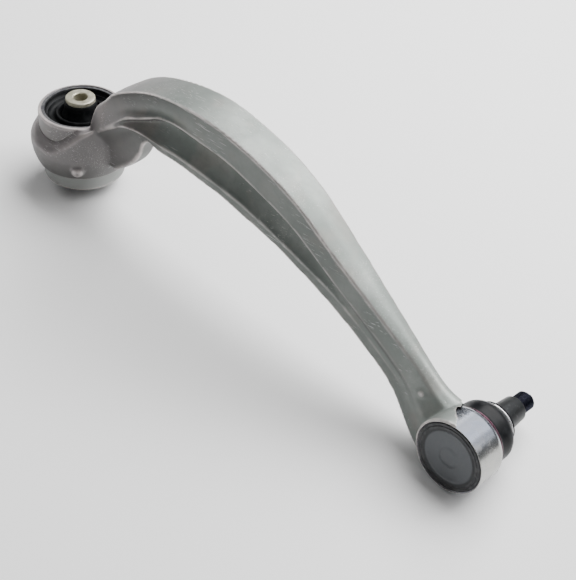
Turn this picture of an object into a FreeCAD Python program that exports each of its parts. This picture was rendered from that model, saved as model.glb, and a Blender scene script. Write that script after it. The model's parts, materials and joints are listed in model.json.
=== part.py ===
import FreeCAD, Part
import math
import os
import Sketcher

# A forged suspension control arm. +Z is the axis of the bush eye, the arch of the arm lies in the XZ plane,
# and the ball stud points towards +Y, tipped down by ball_tilt. Origin: centre of the bush bore. Millimetres.

doc = FreeCAD.newDocument("control_arm")
sheet = doc.addObject("Spreadsheet::Sheet", "sizes")

SIZES = [
    # bush eye
    ("eye_bore_radius", 34.7, "bore that the bush is pressed into"),
    ("eye_half_height", 32.7, "half the height of the eye"),
    ("eye_rim_wall", 2.9, "wall of the turned upper collar"),
    ("eye_foot_wall", 1.5, "wall of the turned lower collar"),
    ("eye_band_wall", 11.3, "wall of the forged band round the eye"),
    ("eye_overlap", 4.0, "how far the ring is made inside the bore before boring"),
    ("eye_band_top", 15.0, "where the band meets the upper collar"),
    ("eye_band_bottom", 17.5, "depth below centre where the band ends"),
    ("eye_band_roll", 13.0, "rounding of the band's upper shoulder"),
    ("eye_band_chamfer", 3.0, "chamfer at the band's upper edge"),
    ("eye_band_lean", 5.5, "how much narrower the band is at its lower end"),
    ("eye_band_widest", 2.0, "height of the band's widest place"),
    ("eye_band_belly", 38.0, "rounding of the band's lower half"),
    # arm
    ("ball_across", 446.6, "bush axis to ball centre, along X"),
    ("ball_drop", 43.1, "ball centre below bush centre"),
    ("ball_tilt", 5.4, "degrees that the stud leans down from +Y"),
    ("arch_top_x", 165.0, "highest place of the arch"),
    ("arch_top_z", 114.0, "height of the arch"),
    ("arch_root_radius", 173.0, "outer line, towards the eye"),
    ("arch_fall_radius", 221.0, "outer line, towards the ball"),
    ("arch_fall_run", 135.0, "length along X of the falling arc"),
    ("under_top_x", 121.0, "highest place of the underside"),
    ("arch_depth", 59.0, "underside below the top of the arch"),
    ("under_radius", 415.0, "arc of the underside"),
    ("under_run", 249.0, "length along X of that arc"),
    ("gusset_foot_x", 9.0, "foot of the gusset, outside the band"),
    ("gusset_foot_z", 1.1, "depth of that foot below centre"),
    ("gusset_shelf_x", 10.0, "end of the shelf between gusset and underside"),
    ("gusset_shelf_z", 1.0, "its depth below the underside"),
    ("gusset_knee_x", 98.0, "knee of the gusset under the arch"),
    ("gusset_depth", 17.0, "that knee below the underside"),
    ("root_half_width", 20.8, "half width of the arm at the eye end"),
    ("waist_half_width", 18.6, "half width where the taper starts"),
    ("neck_half_width", 9.2, "half width at the ball housing"),
    ("root_end_x", 35.0, "end of the full width, before the taper starts"),
    ("taper_start_x", 107.0, "where the taper starts"),
    ("taper_radius", 4700.0, "bow of the tapering sides"),
    ("flare_half_width", 31.0, "half width where the arm runs into the eye"),
    ("flare_radius", 60.0, "hollow of that flare"),
    ("neck_flare", 13.0, "how far the neck swells into the housing"),
    ("neck_swell", 3.25, "how much it widens there"),
    ("main_root_x", 22.0, "main pocket, root corner before the taper starts"),
    ("main_root_z", 12.0, "its height above the underside"),
    ("main_low_z", 9.0, "main pocket, lower line above the underside"),
    ("main_tip_x", 155.0, "main pocket, far corner past the arch top"),
    ("main_tip_z", 31.0, "its depth below the underside"),
    ("main_far_x", 125.0, "main pocket, upper far corner past the arch top"),
    ("main_far_z", 4.0, "its depth below the underside"),
    ("main_top_x", 5.0, "main pocket, top corner before the arch top"),
    ("main_top_z", 32.0, "its height above the underside"),
    ("upper_low_x", 38.0, "shallow pocket, low corner before the taper starts"),
    ("upper_low_z", 14.0, "its height above the underside"),
    ("upper_bend_x", 10.0, "shallow pocket, bend past the start of the taper"),
    ("upper_bend_z", 31.0, "its height above the underside"),
    ("upper_far_x", 98.0, "shallow pocket, far corner past the start of the taper"),
    ("upper_far_z", 36.0, "its height above the underside"),
    ("upper_top_z", 8.0, "shallow pocket, depth of its top below the arch"),
    ("hollow_near_x", 8.0, "gusset hollow, near side outside the band"),
    ("hollow_low_z", 24.0, "gusset hollow, low corner below the knee"),
    ("hollow_knee_x", 8.0, "gusset hollow, corner before the knee"),
    ("hollow_knee_z", 4.0, "its height above the knee"),
    ("hollow_far_x", 2.0, "gusset hollow, corner past the knee"),
    ("hollow_far_z", 1.0, "its depth below the underside"),
    ("hollow_top_x", 27.0, "gusset hollow, top corner outside the band"),
    ("hollow_top_z", 7.0, "its depth below the underside"),
    ("hollow_near_z", 3.0, "gusset hollow, near corner below the knee"),
    ("pocket_start", 0.2, "how far outside the arm the pockets' cut starts"),
    ("web_half", 5.0, "half thickness of the web"),
    ("gusset_floor", 12.0, "distance from mid plane to the floor of the hollow beside the gusset"),
    ("edge_round", 2.0, "rounding of the forging's long edges"),
    ("upper_pocket_floor", 11.5, "distance from mid plane to the shallow pocket's floor"),
    ("pocket_draft", 7.0, "degrees of draft in the pockets"),
    # ball housing, along the stud axis from the ball centre
    ("housing_wall", 9.7, "wall of the turned housing round the seat"),
    ("housing_cap_end", 28.4, "housing end at the cap"),
    ("housing_taper_start", -3.5, "where the housing starts to narrow"),
    ("housing_shoulder", -1.5, "housing end at the boot"),
    ("housing_chamfer", 0.8, "how much narrower the housing is at the boot end"),
    ("boot_room", 8.0, "turned clearance in the neck beside the boot"),
    ("spigot_wall", 3.0, "wall of the spigot that the boot grips"),
    ("spigot_end", 10.5, "end of the spigot"),
    ("mouth_hold", 1.0, "how much smaller than the ball its opening is"),
    ("mouth_flare", 3.4, "how much that opening widens outwards"),
    ("cut_over", 0.5, "how far a turned cut runs past the metal"),
    # ball joint pieces
    ("ball_radius", 15.0, "ball"),
    ("ball_flat", 11.0, "flat below the ball centre"),
    ("ball_fit", 0.04, "running clearance of what turns in or on another piece"),
    ("rubber_fit", 0.05, "gap between the boot and what it grips"),
    ("seat_wall", 4.46, "wall of the plastic seat"),
    ("seat_top", 8.0, "seat above the ball centre"),
    ("seat_bottom", 13.0, "seat below the ball centre"),
    ("preload_height", 3.5, "height of the spring ring"),
    ("preload_inner", 13.0, "bore of the spring ring"),
    ("neck_radius", 8.0, "stud between ball and taper"),
    ("collar_slope", 5.0, "length of the cone from neck to boot seat"),
    ("collar_lead", 1.0, "plain collar before the boot seat"),
    ("cap_body_step", 4.7, "how much wider than the seat the cap's plug is"),
    ("housing_rim", 1.2, "rolled rim of the housing round the cap"),
    ("cap_flange_depth", 1.4, "flange thickness"),
    ("cap_ring_width", 6.4, "raised ring of the cap"),
    ("cap_disc_sink", 0.8, "depth of that"),
    ("cap_boss_radius", 8.0, "round boss in the middle"),
    ("cap_boss_rise", 0.5, "height of the boss"),
    ("cap_seal_section", 1.0, "half thickness of the cap's O-ring"),
    ("cap_seal_depth", 2.5, "its middle, behind the cap's inner face"),
    ("stud_collar_radius", 12.3, "large end of the taper"),
    ("stud_collar_start", 23.5, "start of the boot seat"),
    ("stud_taper_start", 30.0, "start of the taper"),
    ("stud_taper_end", 55.0, "end of the taper"),
    ("stud_taper_radius", 10.5, "small end of the taper"),
    ("thread_radius", 8.0, "thread's outside radius"),
    ("stud_tip", 70.7, "end of the thread"),
    ("tip_chamfer", 1.2, "chamfer at that end"),
    # dust boot
    ("boot_wall", 1.4, "rubber wall"),
    ("boot_bulge", 2.5, "how far the boot bulges past the spigot"),
    ("boot_bead_wall", 2.24, "wall of the bead on the spigot"),
    ("boot_foot_radius", 30.0, "rounding between bead and bulge"),
    ("boot_bulge_at", 15.5, "its distance from the ball centre"),
    ("boot_lip_wall", 4.3, "upper lip, from the stud to its outside"),
    ("boot_lip_height", 6.0, "height of the upper lip"),
    ("clamp_section", 0.9, "half thickness of the top clamp's wire"),
    ("base_clamp_wall", 1.4, "wall of the base clamp"),
    ("base_clamp_width", 4.5, "width of the base clamp"),
    # bush pieces
    ("sleeve_radius", 12.9, "inner sleeve"),
    ("sleeve_half", 42.3, "half its length"),
    ("bolt_hole_radius", 6.1, "hole for an M12 bolt"),
    ("core_wall", 5.7, "wall of the barrel on the sleeve"),
    ("core_half", 20.0, "half its length"),
    ("stop_wall", 2.4, "travel stop's wall"),
    ("stop_half", 6.5, "half its height"),
    ("core_flat", 9.1, "half height of the barrel's straight middle"),
    ("stop_lug_room", 4.1, "gap between its two lugs and the cage"),
    ("stop_lug_half", 6.0, "half width of a lug"),
    ("soft_gap", 0.35, "gap between rubber and what moves in it"),
    ("outer_sleeve_wall", 1.7, "wall of the outer sleeve"),
    ("outer_sleeve_lip", 1.2, "how far its ends are rolled in"),
    ("outer_sleeve_inset", 0.8, "how far it sits inside the eye"),
    ("cage_wall", 1.6, "window cage"),
    ("cage_ring_depth", 3.4, "its end rings, across the radius"),
    ("cage_half", 27.0, "half its height"),
    ("window_half_height", 15.0, "half height of a window"),
    ("window_half_width", 17.0, "half width of a window"),
    ("channel_half", 19.0, "half height of the fluid duct shells"),
    ("duct_half", 7.6, "half height of the duct in them"),
    ("shell_turn", 179.6, "degrees that each shell goes round"),
    ("channel_depth", 1.1, "depth of the duct"),
    ("chamber_half_width", 15.0, "half width of a fluid chamber"),
    ("chamber_half_height", 13.0, "half height of a fluid chamber"),
    ("rubber_top", 26.0, "rubber face above the bush centre"),
    ("rubber_dish", 2.0, "fall of that face towards the cage"),
    ("bead_out", 7.7, "middle of the annular bead, outside the sleeve"),
    ("bead_rise", 2.4, "height of the bead"),
    ("jacket_wall", 0.8, "rubber skin up the inner sleeve"),
    ("jacket_lap", 1.0, "how far the face rises to that skin"),
    ("jacket_inset", 3.0, "bare end of the sleeve past that skin"),
]

for row, (alias, value, note) in enumerate(SIZES, start=1):
    sheet.set("A%d" % row, note)
    sheet.set("B%d" % row, str(value))
    sheet.setAlias("B%d" % row, alias)
doc.recompute()


class Dim:
    """A size: its number now, and the spreadsheet expression that gives it."""

    def __init__(self, number, text):
        self.number = number
        self.text = text

    def combine(self, other, number, sign):
        return Dim(number, "(%s %s %s)" % (self.text, sign, other.text))

    def __add__(self, other):
        other = as_dim(other)
        return self.combine(other, self.number + other.number, "+")

    def __sub__(self, other):
        other = as_dim(other)
        return self.combine(other, self.number - other.number, "-")

    def __mul__(self, other):
        other = as_dim(other)
        return self.combine(other, self.number * other.number, "*")

    def __truediv__(self, other):
        other = as_dim(other)
        return self.combine(other, self.number / other.number, "/")

    def __neg__(self):
        return Dim(-self.number, "(0 - %s)" % self.text)


def as_dim(value):
    """A plain number as a Dim."""
    return value if isinstance(value, Dim) else Dim(float(value), repr(float(value)))


def root(value):
    """Square root of a Dim."""
    return Dim(math.sqrt(value.number), "sqrt(%s)" % value.text)


def drop(radius, run):
    """How far an arc of this radius falls over a run from its highest place."""
    return radius - root(radius * radius - run * run)


class Sizes:
    """Every alias of the sheet as a Dim attribute."""


size = Sizes()
for alias, value, note in SIZES:
    setattr(size, alias, Dim(float(value), "sizes.%s" % alias))

# sizes that follow from others
size.under_top_z = size.arch_top_z - size.arch_depth
size.gusset_knee_z = size.under_top_z - size.gusset_depth
size.eye_rim_radius = size.eye_bore_radius + size.eye_rim_wall
size.eye_foot_radius = size.eye_bore_radius + size.eye_foot_wall
size.eye_band_radius = size.eye_bore_radius + size.eye_band_wall
size.seat_radius = size.ball_radius + size.ball_fit + size.seat_wall
size.housing_radius = size.seat_radius + size.housing_wall
size.housing_shoulder_radius = size.housing_radius - size.housing_chamfer
size.spigot_radius = size.seat_radius + size.spigot_wall
size.mouth_radius = size.ball_radius - size.mouth_hold
size.mouth_end_radius = size.mouth_radius + size.mouth_flare
size.cap_body_radius = size.seat_radius + size.cap_body_step
size.cap_flange_radius = size.housing_radius - size.housing_rim
size.cap_disc_radius = size.cap_flange_radius - size.cap_ring_width
size.cap_inside = -size.seat_bottom - size.preload_height
size.boot_bulge_radius = size.spigot_radius + size.boot_bulge
size.boot_grip_radius = size.spigot_radius + size.rubber_fit + size.boot_bead_wall
size.boot_lip_radius = size.stud_collar_radius + size.boot_lip_wall
size.lip_ring_radius = size.stud_collar_radius + size.boot_wall
size.lip_end = size.stud_collar_start + size.boot_lip_height
size.lip_middle = size.stud_collar_start + size.boot_lip_height / 2
size.seal_middle = size.seat_bottom + size.preload_height + size.cap_seal_depth
size.core_radius = size.sleeve_radius + size.core_wall
size.stop_radius = size.core_radius + size.stop_wall
size.cage_outer = size.eye_bore_radius - size.outer_sleeve_wall
size.cage_inner = size.cage_outer - size.cage_ring_depth
size.bead_radius = size.sleeve_radius + size.bead_out

FULL_TURN = 360.0
QUARTER_TURN = 90.0
# the arm's outline starts at this share of the bore radius, inside the eye
INTO_EYE = 0.6
# where the arm's lower and outer lines run into the housing, as shares of its radius
NECK_UNDER = (0.57, 0.82)
NECK_OVER = (0.62, 0.78)
# the neck is at full width from this share of the housing radius before the ball centre
NECK_BLEND = 0.8
# an edge is on the arch when its middle is this near the outer line, and it is this many roundings long
ARCH_NEAR = 0.5
LONG_EDGE = 4
# clear of the flare, as a share of its half width
PLAN_CLEAR = 1.6


def origin_plane(body, role):
    """One of the body's own origin planes."""
    return next(item for item in body.Origin.OriginFeatures if item.Role == role)


def new_body(name):
    """An empty body whose label is its node name."""
    body = doc.addObject("PartDesign::Body", name)
    body.Label = name
    return body


def new_sketch(body, name, role="XZ_Plane"):
    """A sketch on one of the body's origin planes."""
    sketch = body.newObject("Sketcher::SketchObject", name)
    sketch.AttachmentSupport = [(origin_plane(body, role), "")]
    sketch.MapMode = "FlatFace"
    return sketch


def pin_coordinate(sketch, geometry, end, kind, value):
    """Hold one coordinate of a point, on an axis when it is zero."""
    value = as_dim(value)
    if value.number == 0.0 and not value.text.startswith("("):
        axis = -2 if kind == "DistanceX" else -1
        sketch.addConstraint(Sketcher.Constraint("PointOnObject", geometry, end, axis))
        return
    index = sketch.addConstraint(Sketcher.Constraint(kind, geometry, end, value.number))
    sketch.setExpression("Constraints[%d]" % index, value.text)


def arc_between(start, finish, radius):
    """The short arc from start to finish: a left turn for a positive radius, a right turn for a negative one."""
    turn = math.copysign(1.0, radius)
    chord = finish - start
    left = FreeCAD.Vector(-chord.y, chord.x, 0).normalize()
    middle = (start + finish) * 0.5
    height = math.sqrt(radius * radius - chord.Length * chord.Length / 4.0)
    centre = middle + left * (turn * height)
    circle = Part.Circle(centre, FreeCAD.Vector(0, 0, 1), abs(radius))
    angles = [math.atan2(point.y - centre.y, point.x - centre.x) for point in (start, finish)]
    if turn < 0:
        angles.reverse()
    return Part.ArcOfCircle(circle, angles[0], angles[1])


def outline(sketch, points):
    """A closed line through points (x, y); a third value is the radius of the arc that leaves the point."""
    corners = [FreeCAD.Vector(as_dim(point[0]).number, as_dim(point[1]).number, 0) for point in points]
    ends = []
    for index, point in enumerate(points):
        start = corners[index]
        finish = corners[(index + 1) % len(points)]
        if len(point) == 2:
            sketch.addGeometry(Part.LineSegment(start, finish), False)
            ends.append((index, 1, 2))
        else:
            radius = as_dim(point[2])
            sketch.addGeometry(arc_between(start, finish, radius.number), False)
            ends.append((index, 1, 2) if radius.number > 0 else (index, 2, 1))
    for index, point in enumerate(points):
        geometry, begin, end = ends[index]
        following = ends[(index + 1) % len(points)]
        sketch.addConstraint(Sketcher.Constraint("Coincident", geometry, end, following[0], following[1]))
        pin_coordinate(sketch, geometry, begin, "DistanceX", point[0])
        pin_coordinate(sketch, geometry, begin, "DistanceY", point[1])
        if len(point) == 3:
            radius = as_dim(point[2])
            number = abs(radius.number)
            text = radius.text if radius.number > 0 else "(0 - %s)" % radius.text
            place = sketch.addConstraint(Sketcher.Constraint("Radius", geometry, number))
            sketch.setExpression("Constraints[%d]" % place, text)


def turned_feature(body, kind, name, sketch):
    """A Revolution or a Groove about the sketch's upright axis."""
    feature = body.newObject("PartDesign::" + kind, name)
    feature.Profile = sketch
    feature.ReferenceAxis = (sketch, ["V_Axis"])
    feature.Angle = FULL_TURN
    return feature


def turned_body(name, points):
    """A body of revolution about its own Z axis."""
    body = new_body(name)
    sketch = new_sketch(body, name + "_section")
    outline(sketch, points)
    turned_feature(body, "Revolution", name + "_turning", sketch)
    return body


def through_pocket(body, name, points, role):
    """A pocket cut both ways from an origin plane."""
    sketch = new_sketch(body, name + "_sketch", role)
    outline(sketch, points)
    pocket = body.newObject("PartDesign::Pocket", name)
    pocket.Profile = sketch
    pocket.Type = "ThroughAll"
    pocket.Midplane = True
    return pocket


def rectangle(half_width, half_height):
    """Corners of a rectangle about the sketch's origin."""
    return [(-half_width, -half_height), (half_width, -half_height),
            (half_width, half_height), (-half_width, half_height)]


def on_stud_axis(body):
    """Turn a body's Z axis onto the stud axis, with its origin at the ball centre."""
    turn = FreeCAD.Rotation(FreeCAD.Vector(-1, 0, 0), size.ball_tilt.number + QUARTER_TURN)
    body.Placement = FreeCAD.Placement(FreeCAD.Vector(0, 0, 0), turn)
    body.setExpression("Placement.Base.x", size.ball_across.text)
    body.setExpression("Placement.Base.z", (-size.ball_drop).text)
    body.setExpression("Placement.Rotation.Angle", (size.ball_tilt + QUARTER_TURN).text)
    return body


# ---------------------------------------------------------------- forging

def blank_side():
    """Side outline of the arm, from the eye, along the underside, and back over the arch."""
    s = size
    under_end_x = s.under_top_x + s.under_run
    under_end_z = s.under_top_z - drop(s.under_radius, s.under_run)
    fall_x = s.arch_top_x + s.arch_fall_run
    fall_z = s.arch_top_z - drop(s.arch_fall_radius, s.arch_fall_run)
    root_run = s.arch_top_x - s.eye_bore_radius * INTO_EYE
    root_z = s.arch_top_z - drop(s.arch_root_radius, root_run)
    return [
        (s.eye_bore_radius * INTO_EYE, -s.eye_band_bottom),
        (s.eye_rim_radius, -s.eye_band_bottom),
        (s.eye_band_radius + s.gusset_foot_x, -s.gusset_foot_z),
        (s.gusset_knee_x, s.gusset_knee_z),
        (s.under_top_x - s.gusset_shelf_x, s.under_top_z - s.gusset_shelf_z),
        (s.under_top_x, s.under_top_z, -s.under_radius),
        (under_end_x, under_end_z),
        (s.ball_across - s.housing_radius * NECK_UNDER[0], -s.ball_drop - s.housing_radius * NECK_UNDER[1]),
        (s.ball_across, -s.ball_drop),
        (s.ball_across - s.housing_radius * NECK_OVER[0], s.housing_radius * NECK_OVER[1] - s.ball_drop),
        (fall_x, fall_z, s.arch_fall_radius),
        (s.arch_top_x, s.arch_top_z, s.arch_root_radius),
        (s.eye_bore_radius * INTO_EYE, root_z),
    ]


def plan_side(sign):
    """The waste beside the arm in plan, which gives it its tapered width."""
    s = size
    far = s.flare_half_width * PLAN_CLEAR
    neck_x = s.ball_across - s.housing_radius - s.neck_flare
    blend_x = s.ball_across - s.housing_radius * NECK_BLEND
    swell = s.neck_half_width + s.neck_swell
    points = [
        (s.eye_bore_radius * INTO_EYE, s.flare_half_width),
        (s.taper_start_x - s.root_end_x, s.root_half_width),
        (s.taper_start_x, s.waist_half_width),
        (neck_x, s.neck_half_width),
        (blend_x, swell),
        (s.ball_across + s.housing_radius, swell),
        (s.ball_across + s.housing_radius, far),
        (s.eye_bore_radius * INTO_EYE, far),
    ]
    radii = {0: s.flare_radius, 2: -s.taper_radius}
    if sign > 0:
        return [point + (radii[index],) if index in radii else point for index, point in enumerate(points)]
    flipped = [(point[0], -point[1]) for point in points]
    return [point + (-radii[index],) if index in radii else point for index, point in enumerate(flipped)]


def housing_sketch(body, name):
    """A sketch whose upright axis is the stud axis and whose origin is the ball centre."""
    sketch = new_sketch(body, name, "XY_Plane")
    turn = FreeCAD.Rotation(FreeCAD.Vector(-1, 0, 0), size.ball_tilt.number)
    sketch.AttachmentOffset = FreeCAD.Placement(FreeCAD.Vector(0, 0, 0), turn)
    sketch.setExpression("AttachmentOffset.Base.x", size.ball_across.text)
    sketch.setExpression("AttachmentOffset.Base.z", (-size.ball_drop).text)
    sketch.setExpression("AttachmentOffset.Rotation.Angle", size.ball_tilt.text)
    return sketch


def pocket_from(body, name, points, floor):
    """A drafted pocket cut from the -Y side down to the given distance from the mid plane, and its mirror image."""
    start = size.root_half_width + size.pocket_start
    sketch = new_sketch(body, name + "_sketch", "XZ_Plane")
    sketch.AttachmentOffset = FreeCAD.Placement(FreeCAD.Vector(0, 0, start.number), FreeCAD.Rotation())
    sketch.setExpression("AttachmentOffset.Base.z", start.text)
    outline(sketch, points)
    pocket = body.newObject("PartDesign::Pocket", name)
    pocket.Profile = sketch
    pocket.Type = "Length"
    pocket.setExpression("Length", (start - floor).text)
    pocket.setExpression("TaperAngle", (-size.pocket_draft).text)
    mirrored = body.newObject("PartDesign::Mirrored", name + "_mirrored")
    mirrored.Originals = [pocket]
    mirrored.MirrorPlane = (origin_plane(body, "XZ_Plane"), [""])
    body.Tip = mirrored


def arch_height(across):
    """Height of the arm's outer line at a distance along X."""
    run = across - size.arch_top_x.number
    if run <= size.arch_fall_run.number:
        radius = size.arch_root_radius if run < 0 else size.arch_fall_radius
        return size.arch_top_z.number - radius.number + math.sqrt(radius.number ** 2 - run ** 2)
    return None


def round_arch(body):
    """Round the two long edges of the outer face."""
    doc.recompute()
    base = body.Tip
    names = []
    for index, edge in enumerate(base.Shape.Edges, start=1):
        middle = edge.valueAt((edge.FirstParameter + edge.LastParameter) / 2)
        height = arch_height(middle.x)
        along = abs(edge.lastVertex().Point.x - edge.firstVertex().Point.x)
        if height is not None and abs(height - middle.z) < ARCH_NEAR and along > LONG_EDGE * size.edge_round.number:
            names.append("Edge%d" % index)
    fillet = body.newObject("PartDesign::Fillet", "arch_rounding")
    fillet.Base = (base, names)
    fillet.setExpression("Radius", size.edge_round.text)


def make_forging():
    s = size
    body = new_body("arm_forging")
    side = new_sketch(body, "arm_side")
    outline(side, blank_side())
    blank = body.newObject("PartDesign::Pad", "arm_blank")
    blank.Profile = side
    blank.Midplane = True
    blank.setExpression("Length", (s.flare_half_width * 2).text)
    for sign, label in ((1, "rear"), (-1, "front")):
        through_pocket(body, "taper_" + label, plan_side(sign), "XY_Plane")
    pocket_from(body, "main_pocket", [
        (s.taper_start_x - s.main_root_x, s.under_top_z + s.main_root_z),
        (s.arch_top_x, s.under_top_z + s.main_low_z, -s.under_radius),
        (s.arch_top_x + s.main_tip_x, s.under_top_z - s.main_tip_z),
        (s.arch_top_x + s.main_far_x, s.under_top_z - s.main_far_z, s.arch_fall_radius),
        (s.arch_top_x - s.main_top_x, s.under_top_z + s.main_top_z, s.arch_root_radius),
    ], s.web_half)
    pocket_from(body, "root_pocket", [
        (s.taper_start_x - s.upper_low_x, s.under_top_z + s.upper_low_z),
        (s.taper_start_x + s.upper_bend_x, s.under_top_z + s.upper_bend_z, -s.arch_root_radius),
        (s.taper_start_x + s.upper_far_x, s.under_top_z + s.upper_far_z),
        (s.arch_top_x, s.arch_top_z - s.upper_top_z, s.arch_root_radius),
    ], s.upper_pocket_floor)
    pocket_from(body, "gusset_hollow", [
        (s.eye_band_radius + s.hollow_near_x, s.gusset_knee_z - s.hollow_low_z),
        (s.gusset_knee_x - s.hollow_knee_x, s.gusset_knee_z + s.hollow_knee_z),
        (s.gusset_knee_x + s.hollow_far_x, s.under_top_z - s.hollow_far_z),
        (s.eye_band_radius + s.hollow_top_x, s.under_top_z - s.hollow_top_z),
        (s.eye_band_radius + s.hollow_near_x, s.gusset_knee_z - s.hollow_near_z),
    ], s.gusset_floor)
    round_arch(body)
    eye = new_sketch(body, "eye_section")
    outline(eye, [
        (s.eye_bore_radius - s.eye_overlap, -s.eye_half_height),
        (s.eye_foot_radius, -s.eye_half_height),
        (s.eye_foot_radius, -s.eye_band_bottom),
        (s.eye_band_radius - s.eye_band_lean, -s.eye_band_bottom, s.eye_band_belly),
        (s.eye_band_radius, s.eye_band_widest, s.eye_band_roll),
        (s.eye_band_radius - s.eye_band_chamfer, s.eye_band_top - s.eye_band_chamfer),
        (s.eye_rim_radius, s.eye_band_top),
        (s.eye_rim_radius, s.eye_half_height),
        (s.eye_bore_radius - s.eye_overlap, s.eye_half_height),
    ])
    turned_feature(body, "Revolution", "eye_ring", eye)
    housing = housing_sketch(body, "housing_section")
    outline(housing, [
        (0, -s.housing_cap_end),
        (s.housing_radius, -s.housing_cap_end),
        (s.housing_radius, s.housing_taper_start),
        (s.housing_shoulder_radius, s.housing_shoulder),
        (s.spigot_radius, s.housing_shoulder),
        (s.spigot_radius, s.spigot_end),
        (0, s.spigot_end),
    ])
    turned_feature(body, "Revolution", "housing", housing)
    bore = new_sketch(body, "eye_bore_section")
    outline(bore, [
        (0, -s.eye_half_height * 2),
        (s.eye_bore_radius, -s.eye_half_height * 2),
        (s.eye_bore_radius, s.arch_top_z),
        (0, s.arch_top_z),
    ])
    turned_feature(body, "Groove", "eye_bore", bore)
    cavity = housing_sketch(body, "housing_cavity_section")
    outline(cavity, [
        (0, -s.housing_cap_end - s.cut_over),
        (s.cap_flange_radius, -s.housing_cap_end - s.cut_over),
        (s.cap_flange_radius, s.cap_flange_depth - s.housing_cap_end),
        (s.cap_body_radius, s.cap_flange_depth - s.housing_cap_end),
        (s.cap_body_radius, s.cap_inside),
        (s.seat_radius, s.cap_inside),
        (s.seat_radius, s.seat_top),
        (s.mouth_radius, s.seat_top),
        (s.mouth_end_radius, s.spigot_end + s.cut_over),
        (0, s.spigot_end + s.cut_over),
    ])
    turned_feature(body, "Groove", "housing_cavity", cavity)
    clearance = housing_sketch(body, "boot_clearance_section")
    outline(clearance, [
        (0, s.spigot_end),
        (s.spigot_radius, s.spigot_end),
        (s.spigot_radius, s.housing_shoulder),
        (s.boot_bulge_radius + s.boot_room, s.housing_shoulder),
        (s.boot_bulge_radius + s.boot_room, s.stud_collar_start),
        (0, s.stud_collar_start),
    ])
    turned_feature(body, "Groove", "boot_clearance", clearance)
    return body


# ---------------------------------------------------------------- ball joint

def make_ball_joint():
    s = size
    sunk = s.cap_disc_sink - s.housing_cap_end
    seal_radius = s.cap_body_radius - s.cap_seal_section
    seal_groove = s.cap_body_radius - s.cap_seal_section * 2
    clamp_radius = s.boot_lip_radius + s.clamp_section + s.rubber_fit
    pieces = [
        turned_body("ball_seat", seat_section()),
        turned_body("seat_preload_ring", [
            (s.preload_inner, s.cap_inside),
            (s.seat_radius, s.cap_inside),
            (s.seat_radius, -s.seat_bottom),
            (s.preload_inner, -s.seat_bottom),
        ]),
        turned_body("closing_cap", [
            (0, sunk - s.cap_boss_rise),
            (s.cap_boss_radius, sunk - s.cap_boss_rise),
            (s.cap_boss_radius + s.cap_boss_rise, sunk),
            (s.cap_disc_radius, sunk),
            (s.cap_disc_radius + s.cap_disc_sink, -s.housing_cap_end),
            (s.cap_flange_radius, -s.housing_cap_end),
            (s.cap_flange_radius, s.cap_flange_depth - s.housing_cap_end),
            (s.cap_body_radius, s.cap_flange_depth - s.housing_cap_end),
            (s.cap_body_radius, -s.seal_middle - s.cap_seal_section),
            (seal_groove, -s.seal_middle - s.cap_seal_section),
            (seal_groove, s.cap_seal_section - s.seal_middle),
            (s.cap_body_radius, s.cap_seal_section - s.seal_middle),
            (s.cap_body_radius, s.cap_inside),
            (0, s.cap_inside),
        ]),
        turned_body("ball_stud", stud_section()),
        turned_body("dust_boot", boot_section()),
        turned_body("boot_base_clamp", base_clamp_section()),
        make_ring("cap_seal_ring", seal_radius, -s.seal_middle, s.cap_seal_section),
        make_ring("boot_top_clamp", clamp_radius, s.lip_middle, s.clamp_section),
        turned_body("boot_lip_ring", [
            (s.stud_collar_radius + s.ball_fit, s.stud_collar_start),
            (s.lip_ring_radius, s.stud_collar_start),
            (s.lip_ring_radius, s.lip_end),
            (s.stud_collar_radius + s.ball_fit, s.lip_end),
        ]),
    ]
    for piece in pieces:
        on_stud_axis(piece)


def seat_section():
    s = size
    inside = s.ball_radius + s.ball_fit
    top = root(inside * inside - s.seat_top * s.seat_top)
    base = root(inside * inside - s.ball_flat * s.ball_flat)
    return [
        (base, -s.seat_bottom),
        (s.seat_radius, -s.seat_bottom),
        (s.seat_radius, s.seat_top),
        (top, s.seat_top, -inside),
        (inside, 0, -inside),
        (base, -s.ball_flat),
    ]


def stud_section():
    s = size
    flat = root(s.ball_radius * s.ball_radius - s.ball_flat * s.ball_flat)
    neck_start = root(s.ball_radius * s.ball_radius - s.neck_radius * s.neck_radius)
    return [
        (0, -s.ball_flat),
        (flat, -s.ball_flat, s.ball_radius),
        (s.ball_radius, 0, s.ball_radius),
        (s.neck_radius, neck_start),
        (s.neck_radius, s.stud_collar_start - s.collar_lead - s.collar_slope),
        (s.stud_collar_radius, s.stud_collar_start - s.collar_lead),
        (s.stud_collar_radius, s.stud_taper_start),
        (s.stud_taper_radius, s.stud_taper_end),
        (s.thread_radius, s.stud_taper_end),
        (s.thread_radius, s.stud_tip - s.tip_chamfer),
        (s.thread_radius - s.tip_chamfer, s.stud_tip),
        (0, s.stud_tip),
    ]


def boot_section():
    """The bellows: a bead on the spigot, a round bulge, and a lip on the lip ring."""
    s = size
    start = s.housing_shoulder + s.rubber_fit
    bore = s.spigot_radius + s.rubber_fit
    lip_inner = s.lip_ring_radius + s.rubber_fit
    lip_start = s.stud_collar_start - s.collar_lead
    return [
        (bore, start),
        (s.boot_grip_radius, start),
        (s.boot_grip_radius, s.housing_shoulder + s.base_clamp_width, -s.boot_foot_radius),
        (s.boot_bulge_radius, s.boot_bulge_at, s.boot_bulge_radius),
        (s.boot_lip_radius, lip_start),
        (s.boot_lip_radius, s.lip_end),
        (lip_inner, s.lip_end),
        (lip_inner, lip_start),
        (s.boot_bulge_radius - s.boot_wall, s.boot_bulge_at),
        (bore, s.spigot_end),
    ]


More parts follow.
